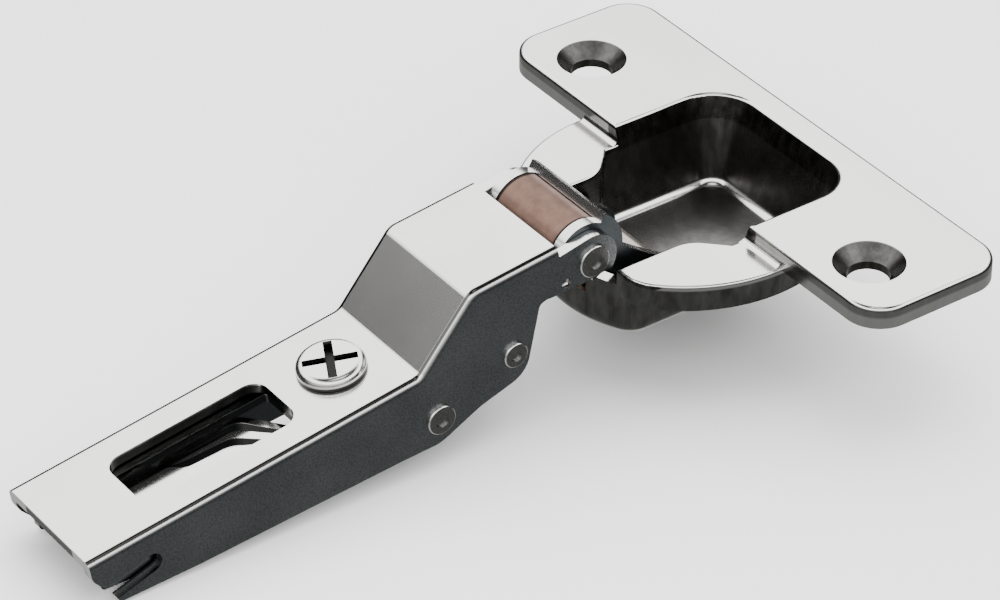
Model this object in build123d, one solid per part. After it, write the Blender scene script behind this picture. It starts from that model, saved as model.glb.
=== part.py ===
from build123d import *
import os
from math import atan2, cos, degrees, radians, sin, tan

os.makedirs("parts", exist_ok=True)

# Concealed cup hinge, fully open. Millimetres. Origin on the cup axis in the door-surface plane,
# +X away from the arm, +Z out of the door.

# Fits
RUN = 0.05            # radial clearance of a turning pin
SIDE = 0.10           # gap between plates that turn past each other
SHEET = 1.2           # arm and link sheet thickness

# Cup
CUP_R = 17.5          # 35 mm door bore
RIM_LOW, LOBE_TOP = -2.65, 0.4
FLANGE_T, FLANGE_L, FLANGE_W, FLANGE_R = 2.48, 64.0, CUP_R + 0.5, 4.0
FLANGE_FRONT = 0.2    # front edge of the flange
COVE, LOBE_EDGE = 0.8, 0.3               # rounds at the foot of the flange and round the lobes
SCREW_X, SCREW_PITCH = 6.2, 48.0
SCREW_R, SINK_R, SINK_DEPTH = 2.3, 3.85, 1.55
TUB_LOW, FLOOR_Z = -8.5, -7.2
FRONT_R, FRONT_WALL = CUP_R - 2.2, 1.4
MOUTH = 7.7           # half width between the lobes
MOUTH_WALL = 1.2
LOBE_FRONT, LOBE_ROUND = 3.6 - CUP_R, CUP_R - 12.5
SILL_Z, NOTCH_Z, NOTCH = -1.9, -4.35, 3.65
CAVITY_LOW, BACK_LOW = 8.65, CUP_R - 5.65        # half width and back of the cavity floor
DRAFT = 17.5
MOUTH_OPEN, MOUTH_ROUND = -4.7, 4.0      # where the mouth starts to widen
TUB_WALL = 1.3

# Pivots (x, z)
FRONT = (-16.9, 2.7)          # outer link on the arm
REAR = (-26.9, -4.9)          # inner link on the arm
CUP_OUTER = (-6.62, -4.18)    # outer link in the cup
CUP_INNER = (-9.91, -3.46)    # inner link in the cup
PIN_R, SMALL_PIN_R, RIVET_HEAD_T = 1.25, 0.9, 0.42
OPEN_PIVOT_PLAY = 0.80        # lost motion of the inner link on its arm pin
OPEN_PIVOT_SHIFT = (0.51, 0.52)

# Arm, in its own frame: s along the mounting flat from the first fold, n out of it
FOLD = (-38.6, -3.15)
TILT = 8.47
ARM_HALF = 7.75
BEND_R = 0.8          # outer radius of the folds along the walls
EAR_HALF = ARM_HALF - 0.12
TAIL_S = -39.9
RAMP_END, PLATE_END = (7.6, 6.8), (18.3, 6.5)
SPRING_PIVOT = (1.5, -6.3)
SCREW_S = -5.7
WINDOW = (-31.0, -12.2, 4.05, 1.9)      # s from, s to, half width, corner radius

# Outer link
LINK_OUT = EAR_HALF - SHEET - 0.08
KNUCKLE_R = 3.6
WRAP_IN, WRAP_OUT = 3.7, 4.7
WRAP_FROM, WRAP_TO = -35.0, 60.0

# Inner link
INNER_HALF = 3.1
DOOR_GAP = 0.12       # links over the door's surface
BRIDGE_Z = DOOR_GAP + SHEET              # top of the inner link where it crosses the door's edge

# Adjusting parts
SLIDE_HALF = ARM_HALF - SHEET - 0.15
SLIDE_TOP, SLIDE_TRAVEL, SLIDE_SHEET = -3.0, 1.2, 1.0
HEAD_R, HEAD_T, SHANK_R = 3.7, 1.2, 2.0


def outline(corners):
    """Closed face from (u, v, corner radius) triples."""
    count = len(corners)
    runs = []
    for i, (u, v, r) in enumerate(corners):
        p = Vector(u, v)
        if r == 0:
            runs.append((p, p, p))
            continue
        before, after = corners[i - 1], corners[(i + 1) % count]
        a = (Vector(before[0], before[1]) - p).normalized()
        b = (Vector(after[0], after[1]) - p).normalized()
        half = radians(a.get_angle(b)) / 2
        centre = p + (a + b).normalized() * (r / sin(half))
        reach = r / tan(half)
        runs.append((p + a * reach, centre + (p - centre).normalized() * r, p + b * reach))
    edges = []
    for i, (start, middle, end) in enumerate(runs):
        if (end - start).length > 1e-6:
            edges.append(ThreePointArc(start, middle, end))
        edges.append(Line(end, runs[(i + 1) % count][0]))
    return make_face(edges)


def upright(face, half, inner=0.0):
    """Body of an (x, z) face between y = -half and +half, or its two outer leaves."""
    body = extrude(Plane.XZ * face, half, both=True)
    if inner:
        body -= extrude(Plane.XZ * face, inner, both=True)
    return body


def disc(centre, radius):
    return Pos(*centre) * Circle(radius)


def rod(centre, radius, half, inner=0.0):
    """Round bar along Y."""
    return upright(disc(centre, radius), half, inner)


def arm_point(s, n):
    c, t = cos(radians(TILT)), sin(radians(TILT))
    return (FOLD[0] + s * c - n * t, FOLD[1] + s * t + n * c)


def arm_outline(corners):
    return outline([(*arm_point(s, n), r) for s, n, r in corners])


def arm_frame(shape):
    """Places a body built on the arm's own axes (s along X, n along Z)."""
    return Pos(FOLD[0], 0, FOLD[1]) * Rot(0, -TILT, 0) * shape


def on_arm(edge):
    """An edge's centre on the arm's own axes."""
    c, t = cos(radians(TILT)), sin(radians(TILT))
    dx, dz = edge.center().X - FOLD[0], edge.center().Z - FOLD[1]
    return dx * c + dz * t, -dx * t + dz * c


def edges_at(body, half):
    """Edges that lie at y = -half or +half."""
    return body.edges().filter_by(lambda e: abs(abs(e.center().Y) - half) < 0.01)


def toward(a, b):
    return degrees(atan2(b[1] - a[1], b[0] - a[0]))


def polar(centre, radius, angle):
    return (centre[0] + radius * cos(radians(angle)), centre[1] + radius * sin(radians(angle)))


def ring_sector(centre, inner, outer, start, stop):
    middle = (start + stop) / 2
    edges = [
        ThreePointArc(*[Vector(*polar(centre, inner, a)) for a in (start, middle, stop)]),
        Line(Vector(*polar(centre, inner, stop)), Vector(*polar(centre, outer, stop))),
        ThreePointArc(*[Vector(*polar(centre, outer, a)) for a in (stop, middle, start)]),
        Line(Vector(*polar(centre, outer, start)), Vector(*polar(centre, inner, start))),
    ]
    return make_face(edges)


def level(face, low, high):
    return extrude(Pos(0, 0, low) * face, high - low)


def drafted(half, back, front, low, high, edge):
    """Tub body growing upwards at the draft angle, with rounded lower edges."""
    plan = outline([(front, -half, 0), (back, -half, 2.2), (back, half, 2.2), (front, half, 0)])
    body = extrude(Pos(0, 0, low) * plan, high - low, taper=-DRAFT)
    floor = body.faces().sort_by(Axis.Z)[0].edges()
    return fillet(floor.filter_by(lambda e: e.center().X > front + 0.1), edge)


def make_cup():
    cavity = drafted(CAVITY_LOW, BACK_LOW, -30, FLOOR_Z, FLANGE_T, 1.1)
    reach = 30 - MOUTH
    start = MOUTH_OPEN - MOUTH_ROUND
    wedge = outline([(start, -MOUTH, 0), (MOUTH_OPEN, -MOUTH, MOUTH_ROUND), (MOUTH_OPEN + reach, -30, 0),
                     (MOUTH_OPEN + reach, 30, 0), (MOUTH_OPEN, MOUTH, MOUTH_ROUND), (start, MOUTH, 0)])
    cavity &= level(wedge, FLOOR_Z, FLANGE_T)
    mouth_plan = outline([(-20, -MOUTH, 0), (0, -MOUTH, 0), (0, MOUTH, 0), (-20, MOUTH, 0)])
    channel = level(mouth_plan & Circle(FRONT_R - FRONT_WALL), FLOOR_Z, FLANGE_T)
    channel = fillet(channel.faces().sort_by(Axis.Z)[0].edges().filter_by(Axis.X), 0.9)

    flange_plan = Pos(FLANGE_FRONT + FLANGE_W / 2, 0, 0) * RectangleRounded(FLANGE_W, FLANGE_L, FLANGE_R)
    flange = level(flange_plan, 0, FLANGE_T) - cavity
    flange = fillet(flange.edges().group_by(Axis.Z)[-1], 0.5)

    rim_plan = outline([(LOBE_FRONT, -20, 0), (20, -20, 0), (20, 20, 0), (LOBE_FRONT, 20, 0)])
    rim_plan &= Circle(CUP_R)
    rim_plan = fillet(rim_plan.vertices(), LOBE_ROUND)
    rim = level(rim_plan - mouth_plan, RIM_LOW, LOBE_TOP)
    rim -= cavity
    rim = fillet(rim.edges().group_by(Axis.Z)[-1], LOBE_EDGE)
    rim -= Pos(FLANGE_FRONT, 0, 0) * Box(40, 60, 4, align=(Align.MIN, Align.CENTER, Align.MIN))

    outer = MOUTH + MOUTH_WALL
    front_plan = outline([(-20, -outer, 0), (0, -outer, 0), (0, outer, 0), (-20, outer, 0)])
    front_plan &= Circle(FRONT_R)
    front = level(front_plan, TUB_LOW, SILL_Z)
    front = fillet(front.edges().filter_by(Axis.Z).group_by(Axis.X)[0], 3.0)
    front = fillet(front.faces().sort_by(Axis.Z)[0].edges().filter_by(lambda e: e.center().X < -0.5), 1.7)
    back = drafted(CAVITY_LOW + TUB_WALL, BACK_LOW + TUB_WALL, -2, TUB_LOW, RIM_LOW + 0.5, 1.7)
    tub = front + back - cavity
    tub -= channel
    notch = Box(4, 2 * NOTCH, 8, align=(Align.CENTER, Align.CENTER, Align.MIN))
    tub -= Pos(0.8 - FRONT_R, 0, NOTCH_Z) * notch

    cove = outline([(FLANGE_FRONT, LOBE_TOP, 0), (FLANGE_FRONT, LOBE_TOP + COVE, 0),
                    (FLANGE_FRONT - COVE, LOBE_TOP + COVE, 0), (FLANGE_FRONT - COVE, LOBE_TOP, 0)])
    cove -= disc((FLANGE_FRONT - COVE, LOBE_TOP + COVE), COVE)
    cove = (upright(cove, 20) & Cylinder(CUP_R - LOBE_EDGE - 0.1, 20)) - cavity
    cup = flange + rim + tub + cove
    for side in (1, -1):
        y = side * SCREW_PITCH / 2
        cup -= Pos(SCREW_X, y, 0) * Cylinder(SCREW_R, 20)
        cup -= Pos(SCREW_X, y, FLANGE_T - SINK_DEPTH) * Cone(
            SCREW_R, SINK_R, SINK_DEPTH, align=(Align.CENTER, Align.CENTER, Align.MIN))
    cup -= rod(CUP_OUTER, PIN_R, outer + 1)
    cup -= rod(CUP_INNER, SMALL_PIN_R, outer + 1)
    return cup


def make_outer_link():
    axis = toward(FRONT, CUP_OUTER)
    span = ((FRONT[0] - CUP_OUTER[0]) ** 2 + (FRONT[1] - CUP_OUTER[1]) ** 2) ** 0.5

    def beside(along, offset, r):
        u, v = polar(polar(FRONT, along, axis), offset, axis + 90)
        return (u, v, r)
    bar = outline([(*FRONT, 0), (*polar(FRONT, WRAP_OUT, -8), 0.8), beside(7.6, 2.0, 3.0),
                   beside(span, 2.1, 0), beside(span, -1.0, 0), beside(2.0, -1.0, 0)])
    plate = bar + disc(FRONT, WRAP_IN) + disc(CUP_OUTER, 2.15)
    plate += ring_sector(FRONT, 1.0, WRAP_OUT, -8, WRAP_TO)
    neighbour = toward(CUP_OUTER, CUP_INNER)
    reach = ((CUP_INNER[0] - CUP_OUTER[0]) ** 2 + (CUP_INNER[1] - CUP_OUTER[1]) ** 2) ** 0.5
    relief = SMALL_PIN_R + 0.25
    plate -= ring_sector(CUP_OUTER, reach - relief, reach + relief, neighbour, neighbour + 120)
    plate -= disc(CUP_INNER, relief)
    link = upright(plate, LINK_OUT, LINK_OUT - SHEET)
    link += upright(ring_sector(FRONT, WRAP_IN, WRAP_OUT, WRAP_FROM, WRAP_TO), LINK_OUT)
    link -= rod(FRONT, PIN_R + RUN, LINK_OUT + 1)
    link -= rod(CUP_OUTER, PIN_R + RUN, LINK_OUT + 1)
    return link - under(DOOR_GAP, -16.0, LINK_OUT + 1)


def under(height, to_x, half):
    """Space below a height, up to an x."""
    return upright(outline([(-40, -20, 0), (to_x, -20, 0), (to_x, height, 0), (-40, height, 0)]), half)


def make_sleeve():
    """Sleeve of the knuckle, flat underneath over the door and open where the inner link crosses."""
    half = LINK_OUT - SHEET - 0.02
    sleeve = rod(FRONT, KNUCKLE_R, half) - rod(FRONT, PIN_R + RUN, half + 1)
    sleeve -= under(DOOR_GAP, 0, half + 1)
    return sleeve - under(BRIDGE_Z + 0.12, 0, INNER_HALF + 2 * SIDE)


def make_inner_link():
    """Channel link, bent up so that it crosses the door's edge under the knuckle."""
    rear = (REAR[0] + OPEN_PIVOT_SHIFT[0], REAR[1] + OPEN_PIVOT_SHIFT[1])
    eye = PIN_R + OPEN_PIVOT_PLAY + 0.95
    body = outline([(*rear, 0), (*polar(rear, eye, 60), 0), (-21.9, BRIDGE_Z, 1.4), (-16.2, BRIDGE_Z, 2.5),
                    (-13.45, -0.45, 3.0), (*polar(CUP_INNER, 1.84, 139), 0), (*CUP_INNER, 0),
                    (*polar(CUP_INNER, 1.84, 237), 0), (-13.6, -3.7, 1.5), (-17.1, DOOR_GAP, 1.0),
                    (-21.35, DOOR_GAP, 0.6), (*polar(rear, eye, 28), 0)])
    plate = body + disc(rear, eye) + disc(CUP_INNER, 1.85)
    near = outline([(-16.7, DOOR_GAP, 0), (-14.15, -1.42, 1.8), (-12.9, -2.5, 0), (-12.9, -8, 0),
                    (-20, -8, 0), (-20, DOOR_GAP, 0)])
    far = outline([(-40, -20, 0), (-23.9, -20, 0), (-23.9, 5, 0), (-40, 5, 0)])
    link = upright(plate, INNER_HALF)
    for pocket in (near, far):
        link -= upright(pocket, INNER_HALF - SHEET)
    link -= rod(rear, PIN_R + OPEN_PIVOT_PLAY, INNER_HALF + 1)
    link -= rod(CUP_INNER, SMALL_PIN_R + RUN, INNER_HALF + 1)
    reach = ((CUP_INNER[0] - CUP_OUTER[0]) ** 2 + (CUP_INNER[1] - CUP_OUTER[1]) ** 2) ** 0.5
    neighbour = toward(CUP_INNER, CUP_OUTER)
    relief = PIN_R + 0.2
    swept = ring_sector(CUP_INNER, reach - relief, reach + relief, neighbour, neighbour + 127)
    link -= upright(swept, INNER_HALF + 1)
    return link - rod(polar(CUP_INNER, reach, neighbour + 127), relief, INNER_HALF + 1)


def make_arm():
    top = [(TAIL_S, 0, 0), (0, 0, 1.2), (*RAMP_END, 2.0), (*PLATE_END, 0)]
    skin = arm_outline(top + [(PLATE_END[0], -14, 0), (TAIL_S, -14, 0)])
    outer = upright(skin, ARM_HALF)
    outer = fillet([e for e in edges_at(outer, ARM_HALF) if TAIL_S + 1 < on_arm(e)[0] < PLATE_END[0] - 1
                    and on_arm(e)[1] > -0.2], BEND_R)
    inside = arm_outline([(TAIL_S - 3, -SHEET, 0), (0.42, -SHEET, 0.9),
                          (RAMP_END[0] + 0.42, RAMP_END[1] - SHEET, 1.0),
                          (PLATE_END[0] + 3, PLATE_END[1] - SHEET - 0.08, 0),
                          (PLATE_END[0] + 3, -20, 0), (TAIL_S - 3, -20, 0)])
    inner = upright(inside, ARM_HALF - SHEET)
    inner = fillet([e for e in edges_at(inner, ARM_HALF - SHEET) if on_arm(e)[1] > -4], 0.3)
    wall = arm_outline([(TAIL_S, 12, 0), (TAIL_S, -2.2, 2.0), (-38.1, -4.75, 0.4), (-37.5, -6.45, 0.7),
                        (-28.2, -7.35, 20), (-3.9, -8.9, 6), (1.1, -9.35, 4), (6.3, -7.6, 5),
                        (12.4, -6.6, 3.2), (15.2, 0.95, 0.9), (17.4, 1.2, 0), (17.4, 4.6, 0.8),
                        (PLATE_END[0], 4.9, 0.2), (PLATE_END[0], 12, 0)])
    arm = (outer & upright(wall, ARM_HALF + 1)) - inner
    ear = ear_outline()
    arm += upright(ear, EAR_HALF, EAR_HALF - SHEET)
    slot_mouth, slot_end = arm_point(-40.5, -5.35), arm_point(-33.2, -3.95)
    slot = outline_slot(slot_mouth, slot_end, 1.1)
    arm -= upright(slot, ARM_HALF + 1)
    s0, s1, half, corner = WINDOW
    window = extrude(Pos((s0 + s1) / 2, 0, -3) * RectangleRounded(s1 - s0, 2 * half, corner), 6)
    arm -= arm_frame(window)
    slotted = SlotOverall(2 * (SHANK_R + SLIDE_TRAVEL + 0.1), 2 * (SHANK_R + 0.1))
    arm -= arm_frame(extrude(Pos(SCREW_S, 0, -3) * slotted, 6))
    for pivot in (FRONT, REAR, arm_point(*SPRING_PIVOT)):
        arm -= rod(pivot, PIN_R, ARM_HALF + 1)
    for side in (1, -1):
        arm -= Pos(-20.3, side * EAR_HALF, 1.2) * Sphere(0.55)
    return arm


def ear_outline():
    face = arm_outline([(16.2, 5.2, 1), (22.32, 5.6, 0), (22.32, 0.5, 0), (16.9, 0.8, 0),
                        (15.0, 1.2, 0), (15.0, 4.0, 0)])
    lower = arm_outline([(14, 0.45, 0), (14, 8, 0), (27, 8, 0), (27, 0.45, 0)])
    return (face + disc(FRONT, 3.0)) & lower


def outline_slot(a, b, r):
    angle = toward(a, b)
    return outline([(*polar(a, r, angle + 90), 0), (*polar(a, r, angle - 90), 0),
                    (*polar(b, r, angle - 90), 0), (*polar(b, r, angle + 90), 0)]) + disc(b, r)


def make_rivet(pivot, head_r, wall):
    """Shouldered rivet through both arm walls, with a dimpled head on each side."""
    rivet = rod(pivot, PIN_R, wall)
    head = RIVET_HEAD_T
    for side in (1, -1):
        place = Pos(pivot[0], side * (wall + head / 2), pivot[1]) * Rot(90, 0, 0)
        rivet += place * Cylinder(head_r, head)
    rim = [e for e in rivet.edges() if abs(abs(e.center().Y) - wall - head) < 0.01]
    rivet = fillet(rim, 0.2)
    for side in (1, -1):
        place = Pos(pivot[0], side * (wall + head), pivot[1]) * Rot(90, 0, 0)
        rivet -= place * Cylinder(head_r * 0.48, 0.5)
    return rivet


def make_spacer(side):
    inner, outer = INNER_HALF + SIDE, ARM_HALF - SHEET - 0.02
    tube = rod(REAR, 2.7, outer) - rod(REAR, PIN_R, outer + 1)
    half_space = Box(20, outer - inner, 20)
    return tube & Pos(REAR[0], side * (inner + outer) / 2, REAR[1]) * half_space


def make_bush():
    centre = arm_point(*SPRING_PIVOT)
    return rod(centre, 1.75, 3.2) - rod(centre, PIN_R, 4)


def make_spring():
    centre = arm_point(*SPRING_PIVOT)
    wire, radius, turns, pitch = 0.5, 2.4, 4, 1.15
    coil = Helix(pitch, pitch * turns, radius)
    start = coil @ 0
    body = sweep(Plane(start, z_dir=coil % 0) * Circle(wire), path=coil)
    body = Pos(centre[0], turns * pitch / 2, centre[1]) * Rot(90, 0, 0) * body
    return body


def make_slide():
    half, top = SLIDE_HALF, SLIDE_TOP
    low = top - SLIDE_SHEET
    s0, s1 = -38.6, -2.8
    face = arm_outline([(s0, top, 0), (s1, top, 0), (s1, -8.0, 1.0), (-20, -7.0, 3), (-31.5, -6.6, 0),
                        (-31.5, top - 3.2, 1.2), (s0, top - 2.2, 0.6)])
    block = upright(face, half)
    block = fillet([e for e in edges_at(block, half) if abs(on_arm(e)[1] - top) < 0.05], 1.2)
    hollow = arm_outline([(s0 - 2, low, 0), (s1 + 2, low, 0), (s1 + 2, -16, 0), (s0 - 2, -16, 0)])
    slide = block - upright(hollow, half - SLIDE_SHEET)
    opening = outline([(-32.5, 4.7, 0.5), (-32.5, 3.0, 0.5), (-27.0, 4.6, 2.0), (-23.6, 0.8, 2.0),
                       (-18.5, 0.3, 3.0), (-14.4, -2.4, 1.0), (-11.2, -2.4, 0.5), (-11.2, 4.7, 0.5)])
    near = outline([(-25.4, 3.2, 0), (-24.6, 2.2, 0), (-22.6, 1.8, 2), (-17.6, 1.5, 3), (-13.8, -2.8, 0),
                    (-13.1, -2.2, 0), (-16.9, 2.3, 3), (-22.4, 2.6, 2), (-24.4, 3.9, 0)])
    far = outline([(-24.0, 2.9, 0), (-22.0, 3.2, 2), (-15.9, 3.2, 2), (-12.2, -2.8, 0), (-11.5, -2.3, 0),
                   (-15.4, 3.9, 2), (-21.8, 3.9, 2), (-24.0, 3.7, 0)])
    gap = extrude(Pos(0, 0, top - 2) * opening, 4)
    for rib in (near, far):
        gap -= extrude(Pos(0, 0, top - 2) * rib, 4)
    slide -= arm_frame(gap)
    slide -= arm_frame(Pos(SCREW_S, 0, top) * Cylinder(SHANK_R + RUN, 8))
    return slide


def make_screw():
    head = Cylinder(HEAD_R, HEAD_T, align=(Align.CENTER, Align.CENTER, Align.MIN))
    head = fillet(head.edges().sort_by(Axis.Z)[-1], 0.8)
    shank = Cylinder(SHANK_R, 7.2, align=(Align.CENTER, Align.CENTER, Align.MAX))
    foot = Pos(0, 0, -7.2) * Cylinder(2.9, 0.9, align=(Align.CENTER, Align.CENTER, Align.MIN))
    screw = head + shank + foot
    for angle in (62, 152):
        cross = Box(5.8, 0.95, 1.0, align=(Align.CENTER, Align.CENTER, Align.MAX))
        screw -= Pos(0, 0, HEAD_T) * Rot(0, 0, angle) * cross
    return arm_frame(Pos(SCREW_S, 0, SIDE / 2) * screw)


spring_centre = arm_point(*SPRING_PIVOT)
parts = {
    "cup": make_cup,
    "outer_link_cup_pin": lambda: rod(CUP_OUTER, PIN_R, MOUTH + MOUTH_WALL - 0.1),
    "inner_link_cup_pin": lambda: rod(CUP_INNER, SMALL_PIN_R, MOUTH + MOUTH_WALL - 0.1),
    "outer_link": make_outer_link,
    "knuckle_sleeve": make_sleeve,
    "inner_link": make_inner_link,
    "hinge_arm": make_arm,
    "front_rivet": lambda: make_rivet(FRONT, 1.85, EAR_HALF),
    "inner_link_rivet": lambda: make_rivet(REAR, 1.45, ARM_HALF),
    "rear_rivet": lambda: make_rivet(spring_centre, 1.7, ARM_HALF),
    "spacer_left": lambda: make_spacer(1),
    "spacer_right": lambda: make_spacer(-1),
    "spring_bush": make_bush,
    "closing_spring": make_spring,
    "adjusting_slide": make_slide,
    "adjusting_screw": make_screw,
}
for name, build in parts.items():
    export_step(build(), f"parts/{name}.step")
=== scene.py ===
"""Concealed cup hinge: its finishes and a plain studio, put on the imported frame."""
import math

import bpy
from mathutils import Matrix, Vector


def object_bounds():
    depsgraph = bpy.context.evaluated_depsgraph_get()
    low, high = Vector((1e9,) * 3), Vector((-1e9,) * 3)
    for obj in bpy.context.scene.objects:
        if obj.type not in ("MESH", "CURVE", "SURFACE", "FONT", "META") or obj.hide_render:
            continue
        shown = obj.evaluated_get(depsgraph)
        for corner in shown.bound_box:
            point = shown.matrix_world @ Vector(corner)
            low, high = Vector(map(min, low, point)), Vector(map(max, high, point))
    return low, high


bl_info = {
    "name": "Concealed Cup Hinge",
    "version": (1, 0, 0),
    "blender": (4, 5, 0),
    "location": "View3D > Sidebar > Hinge",
    "description": "Finishes and studio for a nickel-plated concealed cup hinge",
    "category": "Object",
}

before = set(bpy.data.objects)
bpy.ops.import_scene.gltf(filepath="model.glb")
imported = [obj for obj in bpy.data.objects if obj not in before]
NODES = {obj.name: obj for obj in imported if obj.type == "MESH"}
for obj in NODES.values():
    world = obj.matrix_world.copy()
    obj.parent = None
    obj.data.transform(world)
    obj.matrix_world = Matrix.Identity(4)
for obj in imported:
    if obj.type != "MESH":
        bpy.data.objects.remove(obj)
CAD_BOX = [list(corner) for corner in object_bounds()]

# Places on the hinge, in millimetres
TILT = math.radians(8.47)              # slope of the arm's flat to the door, an angle
FOLD = (-38.6, -3.15)                  # first fold of the arm, x and z
SCREW_ALONG = -5.7                     # adjusting screw on the arm, from the first fold
SINK = (6.2, 24.0)                     # countersinks, x and half the pitch
LINK_TURN = 0.9                        # slope of the links' sheet, an angle in radians

# Where a shade ends, from and to, in millimetres
POCKET_SIDE, POCKET_BACK = (12.2, 13.0), (15.8, 16.5)
BELOW_FLANGE, FLANGE_FOOT, FLANGE_LIP = (-0.3, 0.1), (-0.2, 0.1), (1.1, 1.5)
FLOOR_TOP = (-5.6, -5.0)
SINK_REACH = (14.0, 16.0)              # squared distance from a countersink's axis
SLIDE_FACE, SLIDE_BACK = (-3.12, -3.04), (-4.1, -3.9)
WINDOW_TOP, WINDOW_BACK, WINDOW_SIDE = (-0.3, -0.1), (-1.3, -1.25), (4.3, 4.6)
WALL_TOP, WALL_INSIDE = (-1.6, -1.3), (6.7, 6.95)
CHANNEL_TOP, CHANNEL_SIDE, TAIL_END = (-1.25, -1.15), (6.6, 6.7), (-45, -40)
SLOT_REACH = (9.8, 12.2)               # squared distance from the screw's axis
HEAD_TOP, HEAD_FOOT = (0.75, 1.15), (0.3, 0.6)
SLEEVE_END = (4.72, 4.85)

# Depth of fine relief, in metres
PEEL, TOOL_MARKS, HEAD_MARKS, RINGS, SKIN = 0.000012, 0.000008, 0.00001, 0.000006, 0.00001

# Black for painted shade, painted shadow and painted dark lines
SHADE_BLACK = (0.005, 0.005, 0.0045, 1)
HOLLOW_SHADE = (0.010, 0.0085, 0.0065, 1)      # painted shade on the cup's walls, hollow, countersinks and flange edges
SIDE_WALL_SHADE = (0.028, 0.036, 0.042, 1)       # painted shade on the sheet's side walls
# painted shade on the rivets' flat faces
RIVET_FACE_SHADE = (0.03, 0.03, 0.03, 1)
PIN, COLLAR = (0.50, 0.45, 0.41), (0.62, 0.61, 0.60)
BUSH_DARK, BUSH_PALE = (0.02, 0.02, 0.022, 1), (0.05, 0.05, 0.052, 1)

# Studio, in metres
CAMERA_PLACE = (-0.24953, -0.31794, 0.27111)
CAMERA_AZIMUTH, CAMERA_ELEVATION = math.radians(-35.444), math.radians(35.188)
SENSOR = 36                            # in millimetres
FLOOR_WIDTH = 6
LAMP_AIM = (-0.02, 0, 0)
LAMPS = (                              # name, place, size and share of the key light's power
    ("overhead", (0.05, 0.05, 0.62), 0.7, 1.0),
    ("front_fill", (-0.35, -0.55, 0.35), 0.35, 0.16),
)


class Field:
    """A shader socket that can be used in Python sums."""

    def __init__(self, shader, socket):
        self.shader, self.socket = shader, socket

    def calc(self, operation, *values):
        node = self.shader.node("ShaderNodeMath", {"operation": operation}, dict(enumerate(values)))
        return Field(self.shader, node.outputs[0])

    def __add__(self, other):
        return self.calc("ADD", self, other)

    def __sub__(self, other):
        return self.calc("SUBTRACT", self, other)

    def __rsub__(self, other):
        return self.calc("SUBTRACT", other, self)

    def __mul__(self, other):
        return self.calc("MULTIPLY", self, other)

    __radd__, __rmul__ = __add__, __mul__

    def clamp(self):
        return self.calc("MINIMUM", self.calc("MAXIMUM", self, 0.0), 1.0)

    def size(self):
        return self.calc("ABSOLUTE", self)

    def step(self, low, high):
        """0 below low, 1 above high, smooth between."""
        node = self.shader.node(
            "ShaderNodeMapRange", {"interpolation_type": "SMOOTHSTEP"},
            {"Value": self, "From Min": low, "From Max": high})
        return Field(self.shader, node.outputs[0])


class Shader:
    """One material, or the world, built from named nodes."""

    def __init__(self, owner):
        owner.use_nodes = True
        self.owner, self.tree = owner, owner.node_tree
        self.tree.nodes.clear()

    def node(self, kind, settings=None, sockets=None):
        """A node with its settings made first, then the values or links of its sockets."""
        made = self.tree.nodes.new(kind)
        for key, value in (settings or {}).items():
            setattr(made, key, value)
        for key, value in (sockets or {}).items():
            if isinstance(value, Field):
                self.tree.links.new(value.socket, made.inputs[key])
            else:
                made.inputs[key].default_value = value
        return made

    def out(self, node, name=0):
        return Field(self, node.outputs[name])

    def place(self, scale=(1, 1, 1), turn=(0, 0, 0)):
        """Object coordinates in millimetres, turned and scaled."""
        here = self.out(self.node("ShaderNodeTexCoord"), "Object")
        return self.out(self.node("ShaderNodeMapping", None, {
            "Vector": here, "Rotation": turn, "Scale": [1000 * s for s in scale]}))

    def split(self, vector):
        parts = self.node("ShaderNodeSeparateXYZ", None, {"Vector": vector})
        return [self.out(parts, axis) for axis in range(3)]

    def arm(self, here):
        """Millimetres along the arm's flat from its first fold, out of the flat and across it."""
        x, y, z = self.split(here)
        along = (x - FOLD[0]) * math.cos(TILT) + (z - FOLD[1]) * math.sin(TILT)
        return along, (z - FOLD[1]) * math.cos(TILT) - (x - FOLD[0]) * math.sin(TILT), y

    def strongest(self, first, *others):
        """The largest of several values at each point."""
        for other in others:
            first = first.calc("MAXIMUM", first, other)
        return first

    def facing(self):
        """How far the surface faces along each axis, 0 to 1."""
        return [axis.size() for axis in self.split(self.out(self.node("ShaderNodeNewGeometry"), "Normal"))]

    def noise(self, where, scale, detail=3.0, rough=0.55):
        return self.out(self.node("ShaderNodeTexNoise", None, {
            "Vector": where, "Scale": scale, "Detail": detail, "Roughness": rough}))

    def mix(self, factor, first, second):
        """Colour between two colours; the node's colour sockets are found by number."""
        blend = self.node("ShaderNodeMix", {"data_type": "RGBA"}, {0: factor, 6: first, 7: second})
        return self.out(blend, 2)

    def bump(self, height, strength, depth):
        return self.out(self.node("ShaderNodeBump", None, {
            "Height": height, "Strength": strength, "Distance": depth}))

    def surface(self, **sockets):
        """Ends the material in one surface shader."""
        made = self.node("ShaderNodeBsdfPrincipled", None, {
            key.replace("_", " "): value for key, value in sockets.items()})
        self.node("ShaderNodeOutputMaterial", None, {"Surface": self.out(made)})
        return self.owner


def shade(colour, factor=1.0):
    """The colour with alpha, made lighter or darker."""
    return tuple(c * factor for c in colour[:3]) + (1.0,)


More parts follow.
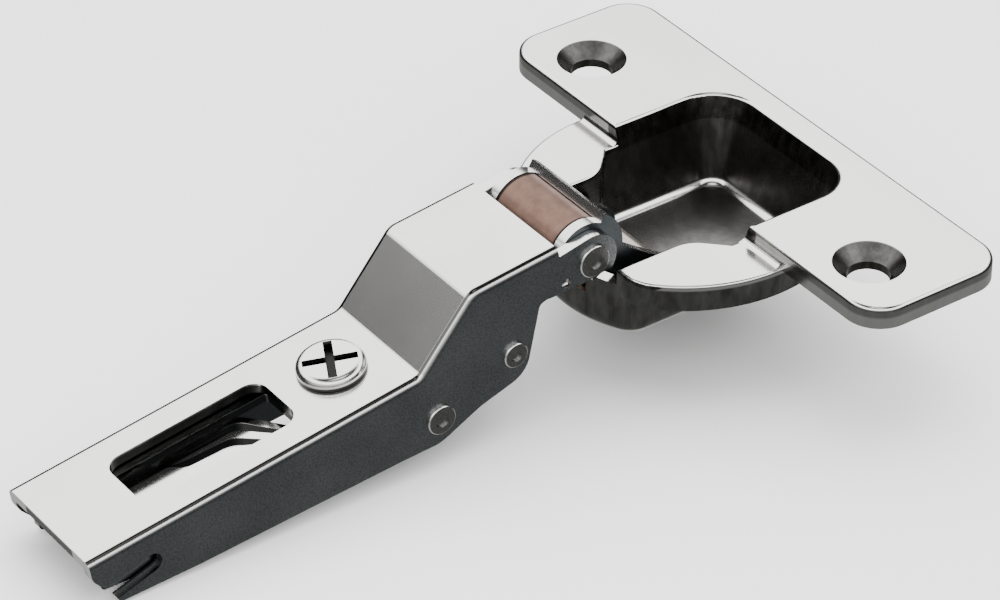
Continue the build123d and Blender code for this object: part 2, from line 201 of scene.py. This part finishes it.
class HingeFinish(bpy.types.PropertyGroup):
    """Colours and gloss of the hinge."""

    nickel: bpy.props.FloatVectorProperty(
        name="Nickel", description="Colour of the plated casting and sheet", subtype="COLOR",
        default=(0.87, 0.86, 0.84), min=0, max=1)
    sleeve: bpy.props.FloatVectorProperty(
        name="Sleeve", description="Colour of the knuckle's sleeve", subtype="COLOR",
        default=(0.205, 0.125, 0.098), min=0, max=1)
    oiled: bpy.props.FloatVectorProperty(
        name="Oiled sheet", description="Colour of the inner link", subtype="COLOR",
        default=(0.15, 0.11, 0.085), min=0, max=1)
    wire: bpy.props.FloatVectorProperty(
        name="Spring wire", description="Colour of the oiled spring wire", subtype="COLOR",
        default=(0.30, 0.30, 0.31), min=0, max=1)
    gloss: bpy.props.FloatProperty(
        name="Plating roughness", description="Roughness of the bright plated faces",
        default=0.16, min=0.02, max=1.0, subtype="FACTOR")
    grain: bpy.props.FloatProperty(
        name="Rolling lines", description="Depth of the fine lines left by the rolling of the sheet",
        default=0.000004, min=0, max=0.0001, unit="LENGTH", precision=6)


class HingeStage(bpy.types.PropertyGroup):
    """Camera and lights."""

    lens: bpy.props.FloatProperty(
        name="Lens", description="Focal length in millimetres on a 36 mm sensor",
        default=165.5, min=20, max=400)
    floor_gap: bpy.props.FloatProperty(
        name="Floor gap", description="Height of the hinge over the floor",
        default=0.0004, min=0, unit="LENGTH")
    floor: bpy.props.FloatVectorProperty(
        name="Floor", description="Colour of the floor", subtype="COLOR",
        default=(0.93, 0.93, 0.93), min=0, max=1)
    power: bpy.props.FloatProperty(
        name="Key light", description="Power of the large soft light overhead, in watts",
        default=8.0, min=0)


def dress(names, material):
    """Gives the material to every slot of the named nodes."""
    for name in names:
        if not NODES[name].material_slots:
            NODES[name].data.materials.append(material)
        for slot in NODES[name].material_slots:
            slot.material = material


def plated_casting(name, colour, gloss):
    """Bright plating over die-cast zinc, with painted shade in the hollow, in the countersinks and on the
    walls.
    """
    s = Shader(bpy.data.materials.new(name))
    here = s.place()
    x, y, z = s.split(here)
    level = s.facing()[2]
    flow = s.noise(s.place(scale=(1, 0.35, 1)), 0.11, 3.0)
    peel = s.noise(here, 2.6, 2.0, 0.5)
    fine = s.noise(here, 14.0, 3.0, 0.6)
    shade_streaks = s.noise(s.place(scale=(1, 1, 0.4)), 0.9, 3.0, 0.6)
    # Painted shade: the masks below darken the walls, the hollow and its floor, the countersinks and the
    # flange's edges, made patchy by streaky noise
    wall = 1.0 - level.step(0.40, 0.62)
    pocket = (1.0 - y.size().step(*POCKET_SIDE)) * (1.0 - x.step(*POCKET_BACK))
    hollow = s.strongest(pocket, 1.0 - z.step(*BELOW_FLANGE)) * wall
    bed = (1.0 - z.step(*FLOOR_TOP)) * level.step(0.965, 0.995)
    from_sink_x, from_sink_y = x - SINK[0], y.size() - SINK[1]
    reach = from_sink_x * from_sink_x + from_sink_y * from_sink_y
    sink = (1.0 - reach.step(*SINK_REACH)) * (1.0 - level.step(0.8, 0.95))
    edge = wall * z.step(*FLANGE_FOOT) * (0.74 + z.step(*FLANGE_LIP) * 0.24)
    dark = (hollow * 0.95 + bed * 0.84 + sink * 0.95 + edge * (1.0 - shade_streaks * 0.3)).clamp()
    tint = s.mix(flow.step(0.35, 0.7), shade(colour, 0.96), shade(colour, 1.03))
    tint = s.mix(dark * (0.86 + shade_streaks * 0.2), tint, HOLLOW_SHADE)
    rough = gloss + fine * 0.06 + flow * 0.05 + dark * 0.10 - 0.05
    relief = s.bump(peel * 0.6 + fine * 0.4, 0.25, PEEL)
    return s.surface(Base_Color=tint, Metallic=1.0, Roughness=rough, Normal=relief)


def plated_sheet(name, colour, gloss, grain, tilt, mottled=1.0, shadow=None):
    """Bright plating over rolled sheet: lines along the strip, painted shade with a mottled grain on the
    side walls and a painted dark line where each bend starts.
    """
    s = Shader(bpy.data.materials.new(name))
    turn = (0, tilt, 0)
    here = s.place(turn=turn)
    lines = s.noise(s.place(scale=(0.05, 3.2, 3.2), turn=turn), 1.6, 3.0, 0.6)
    mottle = s.noise(here, 4.5, 5.0, 0.7)
    broad = s.noise(here, 0.13, 2.0)
    side = s.facing()[1]
    wall = side.step(0.55, 0.95)
    tint = s.mix(broad.step(0.3, 0.7), shade(colour, 0.95), shade(colour, 1.02))
    # Painted shade: the side walls are turned near black, mottled by noise
    wall_shade = 0.98 - (0.08 - mottle.step(0.35, 0.7) * 0.08 + broad * 0.07) * mottled
    tint = s.mix(wall * wall_shade, tint, SIDE_WALL_SHADE)
    # Painted dark reflection: a black line where each flat starts to turn into its bend
    painted_bend_line = side.step(0.06, 0.14) * (1.0 - side.step(0.44, 0.58))
    tint = s.mix(painted_bend_line * 0.9 * mottled, tint, SHADE_BLACK)
    if shadow:
        tint = s.mix(shadow(s), tint, SHADE_BLACK)
    rough = gloss + lines * 0.05 + wall * (mottle * 0.2 + 0.08)
    relief = s.bump(lines + wall * mottle * 2.0 * mottled, 0.3 * mottled, grain)
    return s.surface(Base_Color=tint, Metallic=1.0, Roughness=rough, Normal=relief)


def slide_shadow(s):
    """Dark faces of the slide: all but its top face and the tops of its ribs."""
    out = s.arm(s.place())[1]
    return (1.0 - out.step(*SLIDE_FACE)) * (out.step(*SLIDE_BACK) * 0.35 + 0.55)


def arm_shadow(s):
    """Dark faces of the arm: the window's cut edges, the inner parts of the walls' edges, the channel."""
    along, out, y = s.arm(s.place())
    width, side = y.size(), s.facing()[1]
    window = (1.0 - out.step(*WINDOW_TOP)) * (1.0 - width.step(*WINDOW_SIDE)) * out.step(*WINDOW_BACK)
    edge = (1.0 - out.step(*WALL_TOP)) * (1.0 - side.step(0.3, 0.6)) * (1.0 - width.step(*WALL_INSIDE))
    channel = (1.0 - out.step(*CHANNEL_TOP)) * (1.0 - width.step(*CHANNEL_SIDE)) * along.step(*TAIL_END)
    return s.strongest(window * 0.95, edge * 0.85, channel * 0.6)


def turned_steel(name, colour, rough, scale=3.0):
    """Plated turned or headed steel with faint tool marks and small dark specks."""
    s = Shader(bpy.data.materials.new(name))
    here = s.place()
    marks = s.noise(here, scale, 3.0, 0.6)
    specks = s.noise(here, scale * 4, 2.0, 0.5)
    tint = s.mix(specks.step(0.55, 0.75) * 0.5, shade(colour), shade(colour, 0.55))
    return s.surface(Base_Color=tint, Metallic=1.0, Roughness=rough + marks * 0.15,
                     Normal=s.bump(marks, 0.3, TOOL_MARKS))


def rivet_steel(name, colour):
    """Upset rivet head: bright rounded rim, a dull face darkened by painted shade and a bright dimple."""
    s = Shader(bpy.data.materials.new(name))
    marks = s.noise(s.place(), 5.0, 3.0, 0.6)
    # Painted shade: the flat face is darkened
    face = s.facing()[1].step(0.86, 0.99)
    tint = s.mix(face * (0.80 + marks * 0.2), shade(colour), RIVET_FACE_SHADE)
    return s.surface(Base_Color=tint, Metallic=1.0, Roughness=0.16 + marks * 0.12 + face * 0.1,
                     Normal=s.bump(marks, 0.3, TOOL_MARKS))


def slotted_steel(name, colour, rough):
    """Plated screw with bright head, painted shade in its driver slots and on everything below the head's
    rim.
    """
    s = Shader(bpy.data.materials.new(name))
    here = s.place()
    along, out, y = s.arm(here)
    along = along - SCREW_ALONG
    # Painted shade in the driver slots and below the head's rim
    core = 1.0 - (along * along + y * y).step(*SLOT_REACH)
    dark = (core * (1.0 - out.step(*HEAD_TOP)) + (1.0 - out.step(*HEAD_FOOT))).clamp()
    marks = s.noise(here, 2.0, 3.0, 0.6)
    tint = s.mix(dark * 0.98, shade(colour), SHADE_BLACK)
    return s.surface(Base_Color=tint, Metallic=1.0, Roughness=rough + marks * 0.12 + dark * 0.15,
                     Normal=s.bump(marks, 0.3, HEAD_MARKS))


def sleeve_finish(name, colour):
    """Copper-brown drawn sleeve: faint rings round it, a satin sheen and painted shade at its ends."""
    s = Shader(bpy.data.materials.new(name))
    rings = s.noise(s.place(scale=(0.5, 2.2, 0.5)), 1.4, 3.0, 0.6)
    wear = s.noise(s.place(), 0.55, 4.0, 0.65)
    tint = s.mix(rings.step(0.3, 0.7), shade(colour, 0.95), shade(colour, 1.05))
    tint = s.mix(wear.step(0.4, 0.7) * 0.5, tint, shade(colour, 0.6))
    # Painted shade at both ends of the sleeve
    end = s.split(s.place())[1].size().step(*SLEEVE_END)
    tint = s.mix(end * 0.9, tint, SHADE_BLACK)
    return s.surface(Base_Color=tint, Metallic=0.85, Roughness=0.34 + wear * 0.12,
                     Normal=s.bump(rings, 0.25, RINGS))


def moulded_black(name):
    """Dark moulded bush with a fine matt skin."""
    s = Shader(bpy.data.materials.new(name))
    skin = s.noise(s.place(), 6.0, 3.0)
    tint = s.mix(skin, BUSH_DARK, BUSH_PALE)
    return s.surface(Base_Color=tint, Roughness=0.45 + skin * 0.15, Normal=s.bump(skin, 0.3, SKIN))


class HINGE_OT_cup(bpy.types.Operator):
    """Finish the die-cast cup"""
    bl_idname = "hinge.cup"
    bl_label = "Cup"

    def execute(self, context):
        finish = context.scene.hinge_finish
        dress(["cup"], plated_casting("nickel_casting", finish.nickel, finish.gloss))
        return {"FINISHED"}


class HINGE_OT_sheet_parts(bpy.types.Operator):
    """Finish the folded arm, both links and the slide"""
    bl_idname = "hinge.sheet_parts"
    bl_label = "Arm, links and slide"

    def execute(self, context):
        finish = context.scene.hinge_finish
        nickel, oiled, gloss, grain = finish.nickel, finish.oiled, finish.gloss, finish.grain
        dress(["hinge_arm"], plated_sheet(
            "nickel_arm_sheet", nickel, gloss, grain, TILT, shadow=arm_shadow))
        dress(["adjusting_slide"], plated_sheet(
            "nickel_slide_sheet", nickel, gloss * 0.5, grain * 0.1, TILT, mottled=0.4, shadow=slide_shadow))
        dress(["outer_link"], plated_sheet(
            "nickel_link_sheet", nickel, gloss + 0.03, grain * 0.1, LINK_TURN, mottled=0.2))
        dress(["inner_link"], plated_sheet(
            "oiled_link_sheet", oiled, gloss + 0.12, grain * 0.3, LINK_TURN, mottled=0.6))
        return {"FINISHED"}


class HINGE_OT_pins(bpy.types.Operator):
    """Finish the rivets, pins, collars, sleeve and screw"""
    bl_idname = "hinge.pins"
    bl_label = "Pins, sleeve and screw"

    def execute(self, context):
        finish = context.scene.hinge_finish
        dress(["outer_link_cup_pin", "inner_link_cup_pin"], turned_steel("pin_steel", PIN, rough=0.24))
        dress(["front_rivet", "inner_link_rivet", "rear_rivet"], rivet_steel("rivet_steel", finish.nickel))
        dress(["spacer_left", "spacer_right"], turned_steel("spacer_steel", COLLAR, rough=0.3))
        dress(["knuckle_sleeve"], sleeve_finish("copper_brown_sleeve", finish.sleeve))
        dress(["adjusting_screw"], slotted_steel("screw_steel", finish.nickel, rough=0.12))
        return {"FINISHED"}


class HINGE_OT_spring(bpy.types.Operator):
    """Finish the closing spring and its bush"""
    bl_idname = "hinge.spring"
    bl_label = "Spring and bush"

    def execute(self, context):
        wire = context.scene.hinge_finish.wire
        dress(["closing_spring"], turned_steel("spring_wire", wire, rough=0.3, scale=6.0))
        dress(["spring_bush"], moulded_black("bush_black"))
        return {"FINISHED"}


class HINGE_OT_stage(bpy.types.Operator):
    """Add the floor, the soft lights and the camera"""
    bl_idname = "hinge.stage"
    bl_label = "Studio"

    def execute(self, context):
        stage = context.scene.hinge_stage
        bpy.ops.object.select_all(action="DESELECT")
        low = CAD_BOX[0][2] - stage.floor_gap
        bpy.ops.mesh.primitive_plane_add(size=FLOOR_WIDTH, location=(0, 0, low))
        floor = context.object
        floor.name = "studio_floor"
        floor.visible_glossy = False
        floor.data.materials.append(self.floor_material(stage.floor))
        self.world(context.scene)
        self.lights(stage)
        self.camera(context.scene, stage)
        return {"FINISHED"}

    def floor_material(self, colour):
        """Matt paper, all but even in colour."""
        s = Shader(bpy.data.materials.new("studio_floor"))
        haze = s.noise(s.place(), 0.02, 2.0)
        tint = s.mix(haze, shade(colour, 0.99), shade(colour, 1.01))
        return s.surface(Base_Color=tint, Roughness=0.9)

    def world(self, scene):
        """A bright ring half way up a dark room, a lamp straight above, a pale floor and near wall."""
        world = bpy.data.worlds.new("studio")
        scene.world = world
        s = Shader(world)
        towards = s.out(s.node("ShaderNodeTexCoord"), "Generated")
        right, back, up = s.split(towards)
        ring = up.step(0.34, 0.55) * (1.0 - up.step(0.78, 0.88))
        near = (right * -0.7 + back * -0.7).step(0.2, 0.8) * up.step(-0.2, 0.1) * (1.0 - ring)
        above, below = up.step(0.972, 0.99), 1.0 - up.step(-0.45, -0.1)
        level = ring * 2.9 + near * 0.8 + above * 1.6 + below * 0.5 + 0.03
        glow = s.node("ShaderNodeBackground", None, {
            "Color": s.mix(up.step(0.0, 0.5), (0.95, 0.97, 0.95, 1), (1, 1, 1, 1)), "Strength": level})
        s.node("ShaderNodeOutputWorld", None, {"Surface": s.out(glow)})

    def lights(self, stage):
        """Soft lamps that light the floor and the matt parts and leave the mirrored ones to the room."""
        for name, place, size, share in LAMPS:
            bpy.ops.object.light_add(type="AREA", location=place)
            lamp = bpy.context.object
            lamp.name = name
            lamp.visible_glossy = False
            lamp.data.energy, lamp.data.size = stage.power * share, size
            lamp.rotation_euler = (Vector(LAMP_AIM) - Vector(place)).to_track_quat("-Z", "Y").to_euler()

    def camera(self, scene, stage):
        """The camera at the photograph's viewing angle."""
        bpy.ops.object.camera_add(location=CAMERA_PLACE)
        camera = bpy.context.object
        flat = math.cos(CAMERA_ELEVATION)
        back = Vector((math.sin(CAMERA_AZIMUTH) * flat, -math.cos(CAMERA_AZIMUTH) * flat,
                       math.sin(CAMERA_ELEVATION)))
        camera.rotation_euler = (-back).to_track_quat("-Z", "Y").to_euler()
        camera.data.lens, camera.data.sensor_width = stage.lens, SENSOR
        camera.data.clip_start, camera.data.clip_end = 0.01, 20
        scene.camera = camera


class HINGE_PT_sidebar(bpy.types.Panel):
    """Sidebar with every group of the hinge"""
    bl_label = "Concealed Cup Hinge"
    bl_idname = "HINGE_PT_sidebar"
    bl_space_type = "VIEW_3D"
    bl_region_type = "UI"
    bl_category = "Hinge"

    def draw(self, context):
        for group in (context.scene.hinge_finish, context.scene.hinge_stage):
            box = self.layout.box()
            for key in group.__annotations__:
                box.prop(group, key)
        for operator in OPERATORS:
            self.layout.operator(operator.bl_idname)


OPERATORS = (HINGE_OT_cup, HINGE_OT_sheet_parts, HINGE_OT_pins, HINGE_OT_spring, HINGE_OT_stage)
CLASSES = (HingeFinish, HingeStage, *OPERATORS, HINGE_PT_sidebar)


def register():
    for cls in CLASSES:
        bpy.utils.register_class(cls)
    bpy.types.Scene.hinge_finish = bpy.props.PointerProperty(type=HingeFinish)
    bpy.types.Scene.hinge_stage = bpy.props.PointerProperty(type=HingeStage)


def unregister():
    del bpy.types.Scene.hinge_finish, bpy.types.Scene.hinge_stage
    for cls in reversed(CLASSES):
        bpy.utils.unregister_class(cls)


def main():
    register()
    bpy.ops.hinge.cup()
    bpy.ops.hinge.sheet_parts()
    bpy.ops.hinge.pins()
    bpy.ops.hinge.spring()
    bpy.ops.hinge.stage()


if __name__ == "__main__":
    main()
